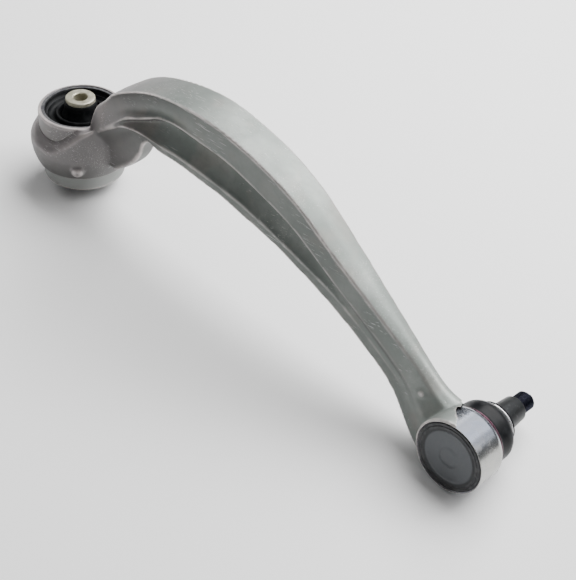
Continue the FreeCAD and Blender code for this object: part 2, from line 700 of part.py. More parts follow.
def base_clamp_section():
    s = size
    inner = s.boot_grip_radius
    start = s.housing_shoulder + s.rubber_fit * 2
    finish = s.housing_shoulder + s.base_clamp_width
    return [
        (inner, start),
        (inner + s.base_clamp_wall, start),
        (inner + s.base_clamp_wall, finish),
        (inner, finish),
    ]


def make_ring(name, radius, height, section):
    """A ring of round wire about the body's Z axis."""
    body = new_body(name)
    sketch = new_sketch(body, name + "_section")
    centre = FreeCAD.Vector(radius.number, height.number, 0)
    sketch.addGeometry(Part.Circle(centre, FreeCAD.Vector(0, 0, 1), section.number), False)
    pin_coordinate(sketch, 0, 3, "DistanceX", radius)
    pin_coordinate(sketch, 0, 3, "DistanceY", height)
    index = sketch.addConstraint(Sketcher.Constraint("Radius", 0, section.number))
    sketch.setExpression("Constraints[%d]" % index, section.text)
    turned_feature(body, "Revolution", name + "_turning", sketch)
    return body


# ---------------------------------------------------------------- bush

def make_bush():
    s = size
    turned_body("bush_inner_sleeve", [
        (s.bolt_hole_radius, -s.sleeve_half),
        (s.sleeve_radius, -s.sleeve_half),
        (s.sleeve_radius, s.sleeve_half),
        (s.bolt_hole_radius, s.sleeve_half),
    ])
    turned_body("bush_core", [
        (s.sleeve_radius, -s.core_half),
        (s.core_radius, -s.core_flat),
        (s.core_radius, s.core_flat),
        (s.sleeve_radius, s.core_half),
    ])
    make_travel_stop()
    make_outer_sleeve()
    make_cage()
    make_channel_halves()
    make_rubber()


def make_travel_stop():
    """A plain ring on the core with two lugs that reach into the fluid chambers."""
    s = size
    inner = s.core_radius + s.ball_fit
    body = turned_body("bush_travel_stop", [
        (inner, -s.stop_half),
        (s.stop_radius, -s.stop_half),
        (s.stop_radius, s.stop_half),
        (inner, s.stop_half),
    ])
    for sign, label in ((1, "right"), (-1, "left")):
        near = (s.stop_radius - s.stop_wall / 2) * sign
        far = (s.cage_inner - s.stop_lug_room) * sign
        corners = [(near, -s.stop_lug_half), (far, -s.stop_lug_half), (far, s.stop_lug_half), (near, s.stop_lug_half)]
        sketch = new_sketch(body, "lug_%s_sketch" % label, "XY_Plane")
        outline(sketch, corners)
        lug = body.newObject("PartDesign::Pad", "lug_" + label)
        lug.Profile = sketch
        lug.Midplane = True
        lug.setExpression("Length", (s.stop_half * 2).text)


def make_outer_sleeve():
    """A tube with both ends rolled in over the cage."""
    s = size
    inner = s.cage_outer
    half = s.eye_half_height - s.outer_sleeve_inset
    lip = inner - s.outer_sleeve_lip
    turned_body("bush_outer_sleeve", [
        (inner, -half + s.outer_sleeve_wall),
        (lip, -half + s.outer_sleeve_wall),
        (lip, -half),
        (s.eye_bore_radius, -half),
        (s.eye_bore_radius, half),
        (lip, half),
        (lip, half - s.outer_sleeve_wall),
        (inner, half - s.outer_sleeve_wall),
    ])


def make_cage():
    """Two rings joined by two bars, with a window on each side."""
    s = size
    body = turned_body("bush_cage", [
        (s.cage_inner, -s.cage_half),
        (s.cage_outer, -s.cage_half),
        (s.cage_outer, -s.channel_half),
        (s.cage_inner + s.cage_wall, -s.channel_half),
        (s.cage_inner + s.cage_wall, s.channel_half),
        (s.cage_outer, s.channel_half),
        (s.cage_outer, s.cage_half),
        (s.cage_inner, s.cage_half),
    ])
    through_pocket(body, "cage_windows", rectangle(s.window_half_width, s.window_half_height), "YZ_Plane")


def make_channel_halves():
    """Two half shells round the cage, with the fluid duct on the outside."""
    s = size
    inner = s.cage_inner + s.cage_wall
    for label, turn in (("front", FULL_TURN / 2), ("rear", 0)):
        body = turned_body("channel_half_" + label, [
            (inner, -s.channel_half),
            (s.cage_outer, -s.channel_half),
            (s.cage_outer, -s.duct_half),
            (s.cage_outer - s.channel_depth, -s.duct_half),
            (s.cage_outer - s.channel_depth, s.duct_half),
            (s.cage_outer, s.duct_half),
            (s.cage_outer, s.channel_half),
            (inner, s.channel_half),
        ])
        turning = next(item for item in body.Group if item.Name.endswith("_turning"))
        turning.setExpression("Angle", s.shell_turn.text)
        body.Placement = FreeCAD.Placement(FreeCAD.Vector(0, 0, 0), FreeCAD.Rotation(FreeCAD.Vector(0, 0, 1), turn))


def make_rubber():
    """The moulding: two dished faces, a bead round the sleeve, and a fluid chamber on each side."""
    s = size
    sleeve_gap = s.sleeve_radius + s.soft_gap
    core_gap = s.core_radius + s.soft_gap
    stop_gap = s.stop_radius + s.soft_gap * 2
    stop_room = s.stop_half + s.soft_gap * 2
    jacket_top = s.sleeve_half - s.jacket_inset
    half_section = [
        (stop_gap, stop_room),
        (core_gap, stop_room),
        (core_gap, s.core_flat),
        (sleeve_gap, s.core_half + s.soft_gap),
        (sleeve_gap, jacket_top),
        (sleeve_gap + s.jacket_wall, jacket_top),
        (sleeve_gap + s.jacket_wall, s.rubber_top + s.jacket_lap),
        (s.bead_radius - s.bead_rise, s.rubber_top),
        (s.bead_radius, s.rubber_top + s.bead_rise),
        (s.bead_radius + s.bead_rise, s.rubber_top),
        (s.cage_inner, s.rubber_top - s.rubber_dish),
    ]
    lower = [(radius, -height) for radius, height in reversed(half_section)]
    body = turned_body("bush_rubber", half_section[::-1] + lower[::-1])
    through_pocket(body, "fluid_chambers", rectangle(s.chamber_half_width, s.chamber_half_height), "YZ_Plane")


def check_and_write():
    """Stop on any failed object or bad shape, then write one STEP file for each body."""
    doc.recompute()
    for item in doc.Objects:
        bad = {"Invalid", "Error"} & set(item.State)
        if bad:
            raise RuntimeError("%s is %s" % (item.Name, ", ".join(sorted(bad))))
    bodies = [item for item in doc.Objects if item.TypeId == "PartDesign::Body"]
    for body in bodies:
        if body.Shape.isNull() or not body.Shape.isValid():
            raise RuntimeError("bad shape: " + body.Label)
    os.makedirs("parts", exist_ok=True)
    for body in bodies:
        body.Shape.exportStep("parts/%s.step" % body.Label)
        print("%-20s %9.1f mm3, %d solid" % (body.Label, body.Shape.Volume, len(body.Shape.Solids)))


make_forging()
make_ball_joint()
make_bush()
check_and_write()
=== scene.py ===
import json
import math

import bmesh
import bpy
import numpy as np
from mathutils import Matrix, Vector

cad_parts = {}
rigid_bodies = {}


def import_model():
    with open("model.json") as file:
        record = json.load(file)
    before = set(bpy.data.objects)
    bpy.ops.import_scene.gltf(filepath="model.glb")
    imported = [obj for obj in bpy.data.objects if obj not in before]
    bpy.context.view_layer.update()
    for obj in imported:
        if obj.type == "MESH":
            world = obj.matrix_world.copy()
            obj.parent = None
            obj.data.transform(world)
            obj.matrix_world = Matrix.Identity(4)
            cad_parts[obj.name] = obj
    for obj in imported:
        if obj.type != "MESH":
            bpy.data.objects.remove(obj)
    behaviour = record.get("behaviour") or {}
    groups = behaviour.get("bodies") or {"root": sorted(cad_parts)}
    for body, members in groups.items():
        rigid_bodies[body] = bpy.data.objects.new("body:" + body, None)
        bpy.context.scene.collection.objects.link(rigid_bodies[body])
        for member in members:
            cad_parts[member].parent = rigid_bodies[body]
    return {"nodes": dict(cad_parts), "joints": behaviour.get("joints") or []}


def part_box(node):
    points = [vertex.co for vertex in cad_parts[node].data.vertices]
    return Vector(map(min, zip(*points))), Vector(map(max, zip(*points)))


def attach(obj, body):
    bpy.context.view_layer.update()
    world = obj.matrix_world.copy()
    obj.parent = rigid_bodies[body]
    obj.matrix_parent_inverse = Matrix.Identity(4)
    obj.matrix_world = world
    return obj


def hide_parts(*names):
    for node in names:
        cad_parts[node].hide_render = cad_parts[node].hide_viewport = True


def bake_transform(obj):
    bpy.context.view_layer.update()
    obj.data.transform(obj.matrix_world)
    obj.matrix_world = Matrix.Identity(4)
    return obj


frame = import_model()
for leftover in [o for o in bpy.data.objects if o.name in ("Cube", "Light", "Camera")]:
    bpy.data.objects.remove(leftover)
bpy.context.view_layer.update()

MM = 0.001
SPIN = next(joint for joint in frame["joints"] if joint["name"] == "stud_spin")
BALL = np.array(SPIN["pos_m"]) / MM
STUD_AXIS = np.array(SPIN["axis"])

# Sizes that pieces share, in millimetres. A height is measured along the bush's axis from the middle of
# the eye, or along the stud from the ball's centre.
EYE_BORE = 34.7         # radius
FOOT_TOP = -18.3        # upper edge of the eye's lower collar
SLEEVE = 12.9           # radius of the inner sleeve
TURNED = 29.2           # radius of the turned housing
CAP_PLANE = -28.4       # outer face of the housing and of the cap's rim
CAP_LEDGE = -27.0       # ledge that the cap's rim is pressed on
CAP_INSIDE = -16.5      # inner face of the cap
SHOULDER = -1.5         # face of the housing that the boot's foot stands on
SPIGOT = 22.5           # radius of the spigot inside the boot's foot
SPIGOT_TOP = 10.5
BALL_RADIUS = 15.0
PITCH = 1.5             # of the stud's thread
BEYOND = 45             # a cutter's end outside the metal


# ---------------------------------------------------------------- shapes

def frame_at(centre, axis):
    """A place for turned shapes: the centre, two directions square to the axis, and the axis. The first
    direction is level; about an upright axis the two are X and Y."""
    axis = axis / np.linalg.norm(axis)
    if axis[2] > 0.9:
        return centre, np.array((1.0, 0.0, 0.0)), np.array((0.0, 1.0, 0.0)), axis
    side = np.cross(axis, (0.0, 0.0, 1.0))
    side = side / np.linalg.norm(side)
    return centre, side, np.cross(side, axis), axis


BUSH = frame_at(np.zeros(3), np.array((0.0, 0.0, 1.0)))
JOINT = frame_at(BALL, STUD_AXIS)


def placed(place, radius, angle, height):
    """Points at a radius, an angle and a height of a cylinder whose centre and directions are given."""
    centre, side, up, axis = place
    across = np.cos(angle)[..., None] * side + np.sin(angle)[..., None] * up
    return centre + radius[..., None] * across + height[..., None] * axis


def quads(rows, columns, round_rows=False, round_columns=False):
    """Faces of a grid of rows by columns; a round direction joins its last line to its first."""
    i = np.arange(rows if round_rows else rows - 1)
    j = np.arange(columns if round_columns else columns - 1)
    i, j = np.meshgrid(i, j, indexing="ij")
    down, right = (i + 1) % rows, (j + 1) % columns
    corners = [i * columns + j, down * columns + j, down * columns + right, i * columns + right]
    return np.stack(corners, -1).reshape(-1, 4)


def mesh_piece(name, points, faces, sharp=35):
    """A mesh object from points in millimetres: doubles merged, faces outwards, and edges over the
    sharp angle kept."""
    mesh = bpy.data.meshes.new(name)
    mesh.from_pydata((points.reshape(-1, 3) * MM).tolist(), [], faces.tolist())
    piece = bpy.data.objects.new(name, mesh)
    bpy.context.scene.collection.objects.link(piece)
    tidied(piece, sharp)
    return piece


def tidied(piece, sharp):
    """Merges doubles, drops what they leave, turns the faces outwards and shades by angle."""
    work = bmesh.new()
    work.from_mesh(piece.data)
    bmesh.ops.remove_doubles(work, verts=work.verts, dist=1e-6)
    bmesh.ops.recalc_face_normals(work, faces=work.faces)
    work.to_mesh(piece.data)
    work.free()
    piece.data.shade_smooth()
    piece.data.set_sharp_from_angle(angle=math.radians(sharp))


def smooth_step(value, low, high):
    """0 below low, 1 above high, and a smooth rise between them."""
    share = np.clip((value - low) / (high - low), 0, 1)
    return share * share * (3 - 2 * share)


def parabola(start, corner, end, share):
    """From start to end, heading for the corner: (1-s)^2 start + 2s(1-s) corner + s^2 end, s the
    share."""
    return (1 - share) ** 2 * start + 2 * share * (1 - share) * corner + share ** 2 * end


def eased(corners, steps=5):
    """A line through corners (x, y, ease): each corner becomes a parabola that starts and ends its ease
    away, and takes less than half of its edges."""
    spots = np.array([corner[:2] for corner in corners], float)
    eases = [corner[2] for corner in corners[1:-1]]
    line = [spots[:1]]
    share = np.linspace(0, 1, steps)[:, None]
    for before, corner, after, ease in zip(spots, spots[1:], spots[2:], eases):
        back, on = before - corner, after - corner
        a = corner + back * min(ease / np.linalg.norm(back), 0.48)
        b = corner + on * min(ease / np.linalg.norm(on), 0.48)
        line.append(parabola(a, corner, b, share))
    line.append(spots[-1:])
    return np.concatenate(line)


def turned(name, place, outline, around=128, sharp=35):
    """A solid of revolution: the outline's radius and height carried once round the axis. An outline
    that keeps off the axis is closed."""
    outline = np.asarray(outline, float)
    angle = np.linspace(0, 2 * math.pi, around, endpoint=False)
    radius, angle = np.meshgrid(outline[:, 0], angle, indexing="ij")
    height = np.broadcast_to(outline[:, 1][:, None], radius.shape)
    points = placed(place, radius, angle, height)
    closed = outline[0, 0] > 0 or outline[-1, 0] > 0
    return mesh_piece(name, points, quads(len(outline), around, closed, True), sharp)


def capped_run(name, rings):
    """A solid of closed rings that follow each other, each end closed by a fan to its ring's middle."""
    ends = rings[[0, -1]].mean(1, keepdims=True).repeat(rings.shape[1], 1)
    points = np.concatenate([ends[:1], rings, ends[1:]])
    return mesh_piece(name, points, quads(len(points), points.shape[1], False, True))


def cord_ring(name, place, radius, height, section, around=128, aside=12):
    """A wire ring: a circle of the given section carried round the axis at a radius and a height."""
    turn = np.linspace(0, 2 * math.pi, aside, endpoint=False)
    circle = np.stack([radius + section * np.cos(turn), height + section * np.sin(turn)], -1)
    return turned(name, place, circle, around)


def vertex_spots(mesh):
    """The places of the mesh's vertices, one row each, in metres."""
    spots = np.empty(len(mesh.vertices) * 3)
    mesh.vertices.foreach_get("co", spots)
    return spots.reshape(-1, 3)


def joined(name, parts):
    """One mesh object out of several, which are removed."""
    points, faces, start = [], [], 0
    for part in parts:
        points.append(vertex_spots(part.data))
        faces += [[start + v for v in polygon.vertices] for polygon in part.data.polygons]
        start += len(part.data.vertices)
    mesh = bpy.data.meshes.new(name)
    mesh.from_pydata(np.concatenate(points).tolist(), [], faces)
    for part in parts:
        bpy.data.objects.remove(part)
    whole = bpy.data.objects.new(name, mesh)
    bpy.context.scene.collection.objects.link(whole)
    return whole


def apply_modifiers(piece):
    """Turns the piece's modifiers into its mesh."""
    graph = bpy.context.evaluated_depsgraph_get()
    mesh = bpy.data.meshes.new_from_object(piece.evaluated_get(graph))
    piece.modifiers.clear()
    piece.data = mesh


# ---------------------------------------------------------------- forging

# Stations from the eye to the ball housing, in millimetres: outer edge x, z; underside x, z; half
# width; half width at the outer edge; lower rib and upper rib as shares of the depth; deep pocket;
# shallow pocket; gusset half width and its hollow; swelling towards the cap side.
STATIONS = np.array([
    (12.0, 34.0, 50.0, -8.0, 14.0, 6.0, 0.62, 0.70, 0.0, 0.0, 8.0, 0.0, 0.0),
    (35.0, 55.0, 77.0, 14.0, 18.0, 7.5, 0.62, 0.68, 0.0, 0.0, 8.0, 1.0, 0.0),
    (47.0, 65.5, 86.0, 26.0, 19.4, 11.0, 0.57, 0.62, 0.5, 2.0, 8.0, 1.0, 0.0),
    (60.0, 78.0, 91.0, 37.0, 20.4, 16.5, 0.48, 0.56, 2.5, 4.5, 8.5, 1.0, 0.0),
    (75.0, 89.0, 97.0, 46.0, 20.7, 20.0, 0.35, 0.53, 6.0, 7.5, 10.0, 0.5, 0.0),
    (90.0, 97.0, 108.5, 53.5, 19.8, 19.8, 0.20, 0.49, 10.0, 8.2, 14.5, 0.0, 0.0),
    (107.0, 104.0, 124.0, 55.0, 18.8, 18.8, 0.15, 0.555, 12.8, 8.0, 18.0, 0.0, 0.0),
    (125.0, 109.0, 138.0, 55.0, 18.5, 18.5, 0.14, 0.61, 13.5, 5.5, 18.0, 0.0, 0.0),
    (165.0, 114.0, 165.0, 53.0, 18.5, 18.5, 0.14, 0.58, 13.5, 2.6, 18.0, 0.0, 0.0),
    (205.0, 110.0, 194.0, 49.0, 17.5, 17.5, 0.142, 0.575, 13.0, 1.2, 17.0, 0.0, 0.0),
    (245.0, 99.0, 223.0, 42.0, 16.7, 16.7, 0.168, 0.557, 12.0, 0.8, 16.2, 0.0, 0.0),
    (285.0, 79.0, 255.0, 33.0, 15.2, 15.2, 0.171, 0.56, 10.0, 0.6, 14.8, 0.0, 0.0),
    (305.0, 64.5, 277.0, 24.5, 14.4, 14.4, 0.211, 0.54, 7.0, 0.6, 14.0, 0.0, 0.0),
    (325.0, 50.5, 300.0, 14.5, 13.6, 13.0, 0.27, 0.50, 4.2, 0.5, 13.0, 0.0, 0.0),
    (345.0, 36.5, 322.0, 3.0, 12.6, 11.2, 0.30, 0.50, 2.6, 0.4, 11.8, 0.0, 0.0),
    (385.0, 8.5, 363.0, -23.0, 10.6, 7.6, 0.32, 0.52, 1.8, 0.2, 9.8, 0.0, 0.4),
    (405.0, -5.5, 381.0, -36.5, 9.6, 5.8, 0.34, 0.52, 0.9, 0.0, 9.0, 0.0, 3.0),
    (420.0, -14.0, 398.0, -50.0, 9.2, 5.8, 0.34, 0.52, 0.0, 0.0, 8.8, 0.0, 9.0),
    (432.0, -16.0, 414.0, -60.0, 9.0, 6.2, 0.34, 0.52, 0.0, 0.0, 8.8, 0.0, 14.0),
    (444.0, -13.2, 428.0, -64.0, 9.0, 7.5, 0.34, 0.52, 0.0, 0.0, 8.8, 0.0, 16.0),
])


def between(stations, count):
    """Natural cubic through the stations, column by column, sampled evenly along the outer edge."""
    run = np.concatenate([[0], np.cumsum(np.hypot(*np.diff(stations[:, :2], axis=0).T))])
    gap = np.diff(run)
    size = len(run)
    system, target = np.eye(size), np.zeros_like(stations)
    inner = np.arange(1, size - 1)
    system[inner, inner - 1] = gap[:-1] / 6
    system[inner, inner] = (gap[:-1] + gap[1:]) / 3
    system[inner, inner + 1] = gap[1:] / 6
    slope = np.diff(stations, axis=0) / gap[:, None]
    target[1:-1] = slope[1:] - slope[:-1]
    bend = np.linalg.solve(system, target)
    at = np.linspace(0, run[-1], count)
    k = np.clip(np.searchsorted(run, at) - 1, 0, size - 2)
    width = gap[k][:, None]
    left, right = (run[k + 1] - at)[:, None] / width, (at - run[k])[:, None] / width
    cubic = ((left ** 3 - left) * bend[k] + (right ** 3 - right) * bend[k + 1]) * width ** 2 / 6
    return left * stations[k] + right * stations[k + 1] + cubic


def rounded_sections(corners, sizes, steps=4):
    """Closed sections (station, corner, 2) with each corner replaced by a parabola that starts its size
    away and takes less than half of its edges."""
    before = np.roll(corners, 1, axis=1) - corners
    after = np.roll(corners, -1, axis=1) - corners
    reach_before = np.linalg.norm(before, axis=-1, keepdims=True) + 1e-9
    reach_after = np.linalg.norm(after, axis=-1, keepdims=True) + 1e-9
    size = np.array(sizes)[None, :, None]
    a = corners + before * np.minimum(size / reach_before, 0.46)
    b = corners + after * np.minimum(size / reach_after, 0.46)
    share = np.linspace(0, 1, steps)[None, None, :, None]
    curve = parabola(a[:, :, None], corners[:, :, None], b[:, :, None], share)
    return curve.reshape(len(corners), -1, 2)


def arm_blank(count=280):
    """The arm: at each station an I section with ribs, a deep and a shallow pocket on both sides, a
    crowned outer face and, by the eye, a hollow gusset. The stations run along the arch. Corners are
    given as (along the depth from the underside, out from the mid plane), each with its rounding."""
    row = between(STATIONS, count)
    ox, oz, ux, uz, half, outer, low, high, deep, shallow, gusset, hollow, swell = row.T
    shallow, deep = np.maximum(shallow, 0), np.maximum(deep, 0)
    depth = np.hypot(ox - ux, oz - uz)
    middle = 0 * depth
    crown = 0.9 + 1.3 * smooth_step(ox, 60, 160)
    foot, rise = low * depth, high * depth
    web, flange = rise - foot, depth - rise
    lean = half - outer
    side = [
        (middle, middle, 1),
        (middle, gusset, 2.4),
        (0.14 * foot, gusset, 1.5),
        (0.34 * foot, gusset - hollow, 6),
        (0.74 * foot, gusset - hollow + 0.12 * (half - gusset), 6),
        (foot, half, 2.6),
        (foot + 0.10 * web, half - 0.25 * deep, 3),
        (foot + 0.46 * web, half - 0.74 * deep, 7),
        (rise - 0.13 * web - 1.5, half - deep, 4),
        (rise, half, 2.4),
        (rise + 0.16 * flange, half - 0.8 * shallow - 0.06 * lean, 4),
        (rise + 0.42 * flange, half - shallow - 0.24 * lean, 5),
        (depth - 0.16 * flange, half - 0.55 * shallow - 0.72 * lean, 3),
        (depth - crown, outer, 1.8),
        (depth, middle, 6),
    ]
    along = np.stack([corner[0] for corner in side], 1)
    across = np.stack([corner[1] for corner in side], 1)
    sizes = [corner[2] for corner in side]
    swollen = np.array([1] * 11 + [0.7, 0.35, 0, 0])
    front = np.stack([along, -across * (1 + (swell / half)[:, None] * swollen)], -1)
    back = np.stack([along, across], -1)[:, -2:0:-1]
    loops = rounded_sections(np.concatenate([front, back], 1), sizes + sizes[-2:0:-1])
    direction = np.stack([ox - ux, oz - uz], -1) / depth[:, None]
    x = ux[:, None] + loops[..., 0] * direction[:, :1]
    z = uz[:, None] + loops[..., 0] * direction[:, 1:]
    return capped_run("arm_blank", np.stack([x, loops[..., 1], z], -1))


def eye_edges(angle):
    """How far the eye's band has climbed towards the arm, from 0 to 1, the height of its shoulder and
    the height of the valley over it, by smooth rises over the angle from the arm's direction."""
    away = np.degrees(np.abs(angle))
    climb = smooth_step(-away, -82, -18)
    shoulder = 10.5 + 25 * climb + 1.5 * smooth_step(away, 95, 150)
    valley = np.minimum(shoulder + 4 + 3.5 * smooth_step(away, 92, 135), 32)
    return climb, shoulder, valley


def eye_blank(around=240):
    """The eye: a collar, a band whose shoulder climbs towards the arm on both sides, and a lower
    collar. Radius and height of the outline depend on the angle from the arm's direction."""
    angle = np.linspace(-math.pi, math.pi, around, endpoint=False)
    climb, shoulder, valley = eye_edges(angle)
    rim, top, core = 37.6, 32.7, 24
    flat = 0 * angle
    outline = [
        (flat + core, flat - top), (flat + 35.2, flat - top), (flat + 36.2, flat - top + 1),
        (flat + 36.6, flat - 20), (flat + 38.2, flat + FOOT_TOP), (flat + 40.6, flat - 17.3),
        (flat + 42.6, flat - 12.5), (flat + 44.6, flat - 6), (flat + 45.7, flat + 1),
        (45.6 - 1.2 * climb, 0.62 * shoulder), (44.9 - 0.7 * climb, shoulder - 2.2),
        (43.6 + 0.3 * climb, shoulder - 0.2),
        (41.8 + 0.3 * climb, 0.55 * shoulder + 0.45 * valley),
        (39.4 + flat, valley - 1.0), (flat + 38.2, valley), (flat + rim, valley + 1.2),
        (flat + rim, flat + top - 0.9), (flat + rim - 0.9, flat + top), (flat + core, flat + top),
    ]
    radius, height = np.stack([o[0] for o in outline]), np.stack([o[1] for o in outline])
    points = placed(BUSH, radius, np.broadcast_to(angle, radius.shape), height)
    return mesh_piece("eye_blank", points, quads(len(outline), around, True, True))


def bump(name, centre, out, radius, rise):
    """An ejector mark: a low round button whose height falls off from its middle to its edge."""
    root = -3
    return turned(name, frame_at(np.array(centre), np.array(out)), [
        (0, rise), (radius * 0.45, rise * 0.93), (radius * 0.72, rise * 0.62), (radius, 0),
        (radius, root), (0, root),
    ], 32)


def housing_blank():
    """The rough ball housing, a little larger than its turned size."""
    return turned("housing_blank", JOINT, [
        (0, CAP_PLANE), (29.9, CAP_PLANE), (30.5, -27.6), (30.5, SHOULDER), (22.6, SHOULDER),
        (22.6, SPIGOT_TOP), (0, SPIGOT_TOP),
    ])


def turning_cut(around=160):
    """The lathe cut round the housing: a ring from the turned radius outwards, open towards the neck,
    where its upper end slants across the neck from the cap to the boot."""
    face = np.array([
        (TURNED, -30), (TURNED, -3.5), (28.4, -1.5), (28.4, -1.0), (44, -1.0), (44, -30),
    ], float)
    edges = zip(face, np.roll(face, -1, axis=0))
    line = np.concatenate([np.linspace(start, end, 16, endpoint=False) for start, end in edges])
    radius, height = line.T
    bow = np.sqrt(np.clip(1 - ((height + 6) / 24) ** 2, 0, 1))
    first = np.radians(-131 - 9 * bow)
    slant = np.interp(height, [CAP_PLANE, -22, -12, -5, -2, -1], [88, 100, 117, 125, 124, 118])
    last = np.radians(slant)
    angle = first + np.linspace(0, 1, around)[:, None] * (last - first)
    radius, height = np.broadcast_to(radius, angle.shape), np.broadcast_to(height, angle.shape)
    centre, _, _, axis = JOINT
    level = (centre, np.array((1.0, 0.0, 0.0)), np.cross((1.0, 0.0, 0.0), axis), axis)
    return capped_run("turning_cut", placed(level, radius, angle, height))


def collar_groove(around=120):
    """The cutter's crescent mark on the collar: a thin round bead that follows the collar's lower edge
    and thins out at both ends, as half an ellipse over the angle."""
    angle = np.radians(np.linspace(-150, -38, around))
    _, _, valley = eye_edges(angle)
    turn = np.linspace(0, 2 * math.pi, 12, endpoint=False)
    fade = 0.75 * np.sqrt(np.clip(1 - ((np.degrees(angle) + 94) / 57) ** 2, 0.02, 1))
    radius = 37.9 + fade[:, None] * np.cos(turn)
    height = (valley + 1.3)[:, None] + fade[:, None] * np.sin(turn)
    angle = np.broadcast_to(angle[:, None], radius.shape)
    return capped_run("collar_groove", placed(BUSH, radius, angle, height))


def forging_cutters():
    """The machining cutters: the bore, the housing's turning, the collar's groove, the room round the
    boot, the lower collar's turning, and the cavity for seat and cap with its mouth for the stud."""
    return [
        turned("bore", BUSH, [(0, -BEYOND), (EYE_BORE, -BEYOND), (EYE_BORE, 140), (0, 140)], 256),
        turning_cut(),
        collar_groove(),
        turned("boot_room", JOINT, [
            (0, SPIGOT_TOP), (SPIGOT, SPIGOT_TOP), (SPIGOT, SHOULDER), (28.5, SHOULDER), (29.6, -1.1),
            (30.5, 0), (31.0, 1.5), (31.0, 22), (0, 22),
        ], 192),
        turned("foot_turning", BUSH, [
            (36.4, -BEYOND), (36.4, FOOT_TOP - 0.6), (37.0, FOOT_TOP), (60, FOOT_TOP), (60, -BEYOND),
        ], 256),
        turned("cavity", JOINT, [
            (0, -44), (46, -44), (46, CAP_PLANE), (28.9, CAP_PLANE), (28.03, -27.9),
            (28.03, CAP_LEDGE), (24.23, CAP_LEDGE), (24.23, CAP_INSIDE), (19.5, CAP_INSIDE), (19.5, 8),
            (14, 8), (17.4, 10.9), (17.4, 16), (0, 16),
        ], 192),
    ]


def make_forging(rough, machined):
    """Blanks melted together by a voxel remesh and relaxed, then cut by the machining cutters, whose
    finish their cuts take."""
    forging = joined("arm_forging_skin", [
        arm_blank(),
        eye_blank(),
        housing_blank(),
        bump("eye_mark", (31.0, -31.6, -6.0), (0.7, -0.7, -0.12), 6.6, 4.6),
        bump("neck_mark", (404.0, -10.5, -19.0), (-0.1, -1.0, 0.1), 4.6, 2.9),
    ])
    melt = forging.modifiers.new("melt", "REMESH")
    melt.mode = "VOXEL"
    melt.voxel_size = 1.15 * MM
    relax = forging.modifiers.new("relax", "SMOOTH")
    relax.factor = 0.5
    relax.iterations = 5
    apply_modifiers(forging)
    soften(forging, np.array((57.0, 3.0)), 24.0, 70)
    forging.data.materials.clear()
    forging.data.materials.append(rough)
    forging.data.materials.append(machined)
    cutters = forging_cutters()
    for cutter in cutters:
        left_rough = cutter.name in ("collar_groove", "foot_turning")
        cutter.data.materials.append(rough if left_rough else machined)
        cut = forging.modifiers.new(cutter.name, "BOOLEAN")
        cut.operation = "DIFFERENCE"
        cut.solver = "EXACT"
        cut.material_mode = "TRANSFER"
        cut.object = cutter
    apply_modifiers(forging)
    for cutter in cutters:
        bpy.data.objects.remove(cutter)
    tidied(forging, 32)
    mark_edges(forging)
    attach(forging, "arm")
    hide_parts("arm_forging")


def soften(piece, middle, reach, rounds):
    """Relaxes the surface round a place (x, z) on both sides, fully in the middle and less towards the
    reach."""
    away = np.linalg.norm((vertex_spots(piece.data) / MM)[:, [0, 2]] - middle, axis=1)
    share = 1 - smooth_step(away, 0.45 * reach, reach)
    group = piece.vertex_groups.new(name="soft")
    for index in np.flatnonzero(share > 0.01):
        group.add([int(index)], float(share[index]), "REPLACE")
    relax = piece.modifiers.new("soften", "SMOOTH")
    relax.vertex_group = "soft"
    relax.factor = 0.5
    relax.iterations = rounds
    apply_modifiers(piece)
    piece.vertex_groups.clear()


def mark_edges(piece):
    """Stores how far each vertex stands out from the mean of its neighbours, along its normal and in
    edge lengths, as a point attribute; the forged finish makes edge wear, nicks, painted highlights
    along the ridges and painted shade in the hollows from it."""
    mesh = piece.data
    spots = vertex_spots(mesh)
    count = len(spots)
    normals = np.empty(count * 3)
    mesh.vertices.foreach_get("normal", normals)
    normals = normals.reshape(-1, 3)
    ends = np.empty(len(mesh.edges) * 2, int)
    mesh.edges.foreach_get("vertices", ends)
    a, b = ends.reshape(-1, 2).T
    degree = np.bincount(ends, minlength=count)[:, None]

    def mean_of_neighbours(values):
        total = np.zeros_like(values)
        np.add.at(total, a, values[b])
        np.add.at(total, b, values[a])
        return total / np.maximum(degree, 1)

    reach = np.linalg.norm(spots[a] - spots[b], axis=1).mean()
    out = ((spots - mean_of_neighbours(spots)) * normals).sum(1, keepdims=True) / reach
    for _ in range(3):
        out = 0.5 * out + 0.5 * mean_of_neighbours(out)
    layer = mesh.attributes.new("wear_and_shading_relief", "FLOAT", "POINT")
    layer.data.foreach_set("value", np.ascontiguousarray(out[:, 0], np.float32))


# ---------------------------------------------------------------- joint pieces

def ride_as(piece, body, finish, slot, *nodes):
    """Gives a piece its finish, its CAD body and the nodes it stands for; the slot argument is not
    used.
    """
    piece.data.materials.clear()
    piece.data.materials.append(finish)
    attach(piece, body)
    if nodes:
        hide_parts(*nodes)


def make_cap(finish):
    """The pressed closing cap: a raised rolled rim, a sunk disc with a soft ramp, and a round boss."""
    outline = eased([
        (0, -28.3, 0), (6.6, -28.3, 0.9), (8.8, -27.6, 0.7), (20.6, -27.6, 1.2), (22.2, -28.35, 0.6),
        (24.0, CAP_PLANE, 0.5), (25.0, CAP_PLANE, 0.4), (25.5, -27.9, 0.3), (26.0, CAP_PLANE, 0.3),
        (27.6, -28.38, 0.3), (28.0, -27.9, 0.2), (28.0, CAP_LEDGE, 0.1), (24.2, CAP_LEDGE, 0.1),
        (24.2, CAP_INSIDE, 0.1), (0, CAP_INSIDE, 0),
    ])
    skin = turned("closing_cap_skin", JOINT, outline, 160, 40)
    ride_as(skin, "arm", finish, "cap_steel", "closing_cap")


